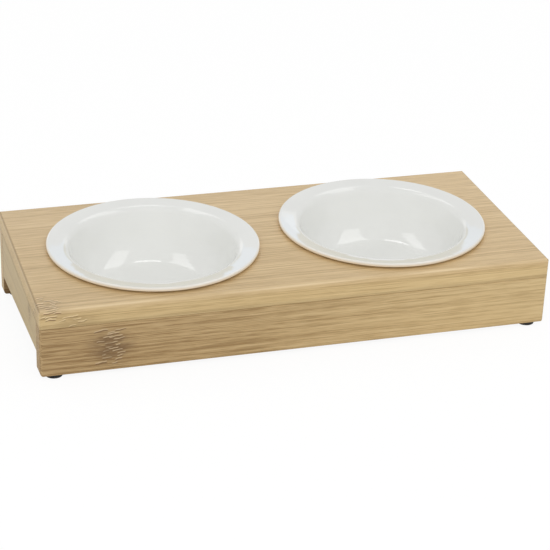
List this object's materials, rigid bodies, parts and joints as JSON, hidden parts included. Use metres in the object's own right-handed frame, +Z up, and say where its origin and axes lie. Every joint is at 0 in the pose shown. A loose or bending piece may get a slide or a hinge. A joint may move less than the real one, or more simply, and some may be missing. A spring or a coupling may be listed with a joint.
{
  "type": "double pet bowl",
  "caption": "Low leaning bamboo stand with round holes that hold lift-out white glazed ceramic pet bowls on their rims.",
  "frame": {"origin": "on the floor, under the middle of the stand's length and depth", "axes": "+X along the stand's length to the right as seen from the front, +Y from the low front edge towards the high back edge, +Z up"},
  "size_m": [0.314, 0.1478, 0.0595],
  "materials": {
    "bamboo": "satin lacquered bamboo, grain along the boards",
    "dowel_wood": "plain turned beech",
    "white_glaze": "glossy off-white glaze",
    "foot_rubber": "matte black rubber"
  },
  "bodies": {
    "stand": {"top_board": "bamboo", "front_board": "bamboo", "back_board": "bamboo", "left_side_panel": "bamboo", "right_side_panel": "bamboo", "front_board_dowels": "dowel_wood", "back_board_dowels": "dowel_wood", "left_panel_dowels": "dowel_wood", "right_panel_dowels": "dowel_wood", "front_left_foot": "foot_rubber", "front_right_foot": "foot_rubber", "back_left_foot": "foot_rubber", "back_right_foot": "foot_rubber"},
    "left_bowl": {"left_bowl": "white_glaze"},
    "right_bowl": {"right_bowl": "white_glaze"}
  },
  "joints": [
    {"name": "left_bowl_lift", "type": "slide", "parent": "stand", "child": "left_bowl", "axis": [0, -0.0872, 0.9962], "range_m": [0, 0.06]},
    {"name": "right_bowl_lift", "type": "slide", "parent": "stand", "child": "right_bowl", "axis": [0, -0.0872, 0.9962], "range_m": [0, 0.06]}
  ]
}
